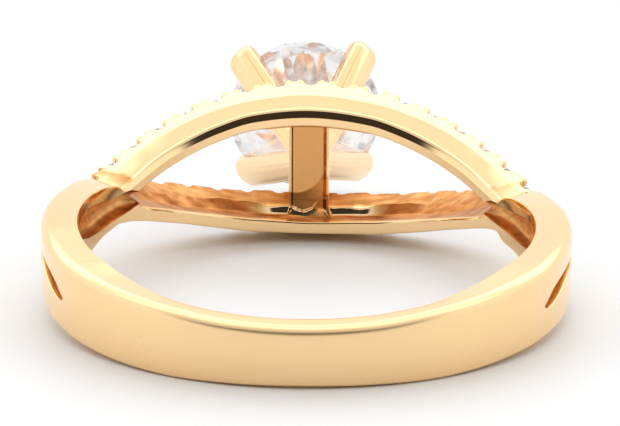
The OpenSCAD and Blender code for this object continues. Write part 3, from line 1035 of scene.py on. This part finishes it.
def gold_material():
    """Polished yellow gold, with faint polishing marks and more wear along the back of the band."""
    material, shader = principled("yellow_gold")
    add, links = node_adder(material.node_tree), material.node_tree.links
    shader.inputs["Metallic"].default_value = 1
    place = add("ShaderNodeTexCoord", {}).outputs["Object"]
    satin_and_shade, colour = gold_colour(add, place)
    links.new(colour, shader.inputs["Base Color"])
    marks = add("ShaderNodeTexNoise", {"Vector": place, "Scale": 900, "Detail": 3})
    split = add("ShaderNodeSeparateXYZ", {"Vector": place})
    wear = add("ShaderNodeMapRange", {"Value": split.outputs["Y"], "From Min": WEAR_FROM,
                                      "From Max": WEAR_TO, "To Min": WEAR_LEAST, "To Max": WEAR_MOST})
    rough = add("ShaderNodeMath", {0: marks.outputs["Fac"], 1: MARKS_ROUGHNESS, 2: wear.outputs["Result"]},
                operation="MULTIPLY_ADD")
    satin = add("ShaderNodeMix", {"Factor": satin_and_shade, "A": rough.outputs["Value"], "B": CAST_ROUGHNESS})
    links.new(satin.outputs["Result"], shader.inputs["Roughness"])
    return material


def diamond_material(name, roughness):
    material, shader = principled(name)
    shader.inputs["Base Color"].default_value = (1, 1, 1, 1)
    shader.inputs["Roughness"].default_value = roughness
    shader.inputs["IOR"].default_value = 2.417
    shader.inputs["Transmission Weight"].default_value = 1
    return material


def floor_material():
    material, shader = principled("table")
    shader.inputs["Base Color"].default_value = (0.82, 0.828, 0.835, 1)
    shader.inputs["Roughness"].default_value = 0.5
    return material


def dress(obj, material):
    """Gives a piece its material and its slot, and lets it ride with the ring."""
    obj.data.materials.clear()
    obj.data.materials.append(material)
    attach(obj, "root")
    return obj


# The camera looks over the back of the band at the head. Degrees above the ring's own plane, round the head
# and about its own axis, distance in mm, scale at the ring's middle, and the pixel that shows the middle.
CAMERA_RISE = 21.9
CAMERA_TURN = 0.8
CAMERA_ROLL = 0.26
CAMERA_DISTANCE = 165.0
PIXELS_PER_MM = 26.4
PHOTO_W, PHOTO_H = 620, 426
AIM_X, AIM_Y = 306.5, 253.7
SENSOR = 36


def camera():
    """The photograph's own camera, solved from the finger hole and the band's edges."""
    rise, roll = math.radians(CAMERA_RISE), math.radians(CAMERA_ROLL)
    right = Vector((1, 0, 0))
    up = Vector((0, math.sin(rise), math.cos(rise)))
    back = Vector((0, -math.cos(rise), math.sin(rise)))
    across = right * math.cos(roll) + up * math.sin(roll)
    upward = up * math.cos(roll) - right * math.sin(roll)
    focal = PIXELS_PER_MM * CAMERA_DISTANCE
    pitch = math.atan((AIM_Y - PHOTO_H / 2) / focal)
    pan = math.atan((PHOTO_W / 2 - AIM_X) / focal)
    turn = Matrix((across, upward, back)).transposed()
    turn = turn @ Matrix.Rotation(pitch, 3, "X") @ Matrix.Rotation(-pan, 3, "Y")
    round_head = REST @ Matrix.Rotation(math.radians(CAMERA_TURN), 4, "Z")
    place = round_head @ Matrix.Translation(back * CAMERA_DISTANCE) @ turn.to_4x4()
    where, rotation, _ = place.decompose()
    data = bpy.data.cameras.new("camera")
    data.sensor_width = SENSOR
    data.lens = focal / PHOTO_W * SENSOR
    data.clip_start, data.clip_end = 0.01, 20
    obj = bpy.data.objects.new("camera", data)
    bpy.context.scene.collection.objects.link(obj)
    obj.matrix_world = Matrix.LocRotScale(where, rotation, None)
    bpy.context.scene.camera = obj


# The tent's brightness along an arch over the ring: from the horizon on the camera's side (0) over the top
# (0.5) to the horizon beyond the ring (1)
TENT = [(0.0, 1.15), (0.18, 0.95), (0.27, 0.75), (0.40, 0.9), (0.47, 2.0), (0.53, 2.0), (0.57, 1.15),
        (0.64, 1.12), (0.685, 2.0), (0.79, 2.0), (0.85, 1.08), (1.0, 1.08)]
# The strength of the light, which every colour of the tent is multiplied by
STRENGTH = 2
# The tent's opening for the camera, as parts of a direction: half its width, how high its middle is, and
# half its height
OPENING_W, OPENING_Z, OPENING_H = 0.80, 0.27, 0.26
OPENING_COLOUR = (0.02, 0.018, 0.016, 1)
# The tent's sides are even: how far to the side they start and where they have taken over
SIDES = (0.62, 0.88)
SIDE_COLOUR = (0.57, 0.57, 0.57, 1)
# What shows through a stone is closer to this grey, and behind the ring the camera sees plain white
THROUGH_COLOUR = (0.44, 0.435, 0.44, 1)
THROUGH_SHARE = 0.88
BACKDROP = (0.5, 0.5, 0.5, 1)


def tent_ramp(add, share):
    """The tent's colour at a share of the way along its arch."""
    ramp = add("ShaderNodeValToRGB", {"Fac": share})
    elements = ramp.color_ramp.elements
    elements.remove(elements[1])
    for i, (position, value) in enumerate(TENT):
        stop = elements[0] if i == 0 else elements.new(position)
        stop.position = position
        stop.color = (value / STRENGTH, value / STRENGTH, value / STRENGTH, 1)
    return ramp.outputs["Color"]


def studio():
    """A white tent that is open, and so dark, around the camera."""
    world = bpy.data.worlds.new("studio")
    bpy.context.scene.world = world
    world.use_nodes = True
    add = node_adder(world.node_tree)

    def calc(operation, *values):
        return add("ShaderNodeMath", dict(enumerate(values)), operation=operation).outputs["Value"]

    def mixed(share, a, b):
        return add("ShaderNodeMix", {"Factor": share, "A": a, "B": b}, data_type="RGBA").outputs["Result"]

    def eased(value, start, end, before, after):
        inputs = {"Value": value, "From Min": start, "From Max": end, "To Min": before, "To Max": after}
        return add("ShaderNodeMapRange", inputs, interpolation_type="SMOOTHSTEP").outputs["Result"]

    place = add("ShaderNodeTexCoord", {})
    x, y, z = add("ShaderNodeSeparateXYZ", {"Vector": place.outputs["Generated"]}).outputs
    arch = calc("DIVIDE", calc("ARCTAN2", z, calc("MULTIPLY", y, -1.0)), math.pi)
    wide = calc("POWER", calc("ABSOLUTE", calc("DIVIDE", x, OPENING_W)), 2.0)
    tall = calc("POWER", calc("ABSOLUTE", calc("DIVIDE", calc("SUBTRACT", z, OPENING_Z), OPENING_H)), 2.0)
    opening = eased(calc("ADD", wide, tall), 0.8, 1.1, 1.0, 0.0)
    closed = calc("SUBTRACT", 1.0, calc("MULTIPLY", opening, calc("LESS_THAN", y, 0.0)))
    tent = mixed(eased(calc("ABSOLUTE", x), *SIDES, 0.0, 1.0), tent_ramp(add, arch), SIDE_COLOUR)
    around = mixed(closed, OPENING_COLOUR, tent)
    rays = add("ShaderNodeLightPath", {}).outputs
    through = mixed(calc("MULTIPLY", rays["Is Transmission Ray"], THROUGH_SHARE), around, THROUGH_COLOUR)
    light = world.node_tree.nodes["Background"]
    world.node_tree.links.new(mixed(rays["Is Camera Ray"], through, BACKDROP), light.inputs["Color"])
    light.inputs["Strength"].default_value = STRENGTH


def floor():
    half = 2.0
    corners = [(-half, -half, 0), (half, -half, 0), (half, half, 0), (-half, half, 0)]
    obj = mesh_object("floor", corners, [(0, 1, 2, 3)])
    obj.data.materials.append(floor_material())


camera()
studio()
floor()
# Light passes through the cut stones by many reflections inside them
paths = bpy.context.scene.cycles
paths.max_bounces = 32
paths.glossy_bounces = 24
paths.transmission_bounces = 24
view = bpy.context.scene.view_settings
view.view_transform = "Standard"
view.look = "None"

spots = accent_spots()
gold = dress(mounting(spots), gold_material())
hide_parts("mounting")

clear = diamond_material("diamond", 0.045)
centre = dress(stone_object("brilliant", brilliant("centre", STONE_D, 96), head_place()), clear)
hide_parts("center_diamond")
small = {d: brilliant("small", d, 32) for d in (ACCENT_D, SMALL_ACCENT_D)}
small_clear = diamond_material("small_diamond", 0.0)
for node, rows, a, d, z in spots:
    place = on_face(a, float(outer_radius(rows, a)) - ACCENT_SINK, z)
    stone = stone_object(node.replace("accent", "stone"), small[d], place)
    dress(stone, small_clear)
    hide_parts(node)

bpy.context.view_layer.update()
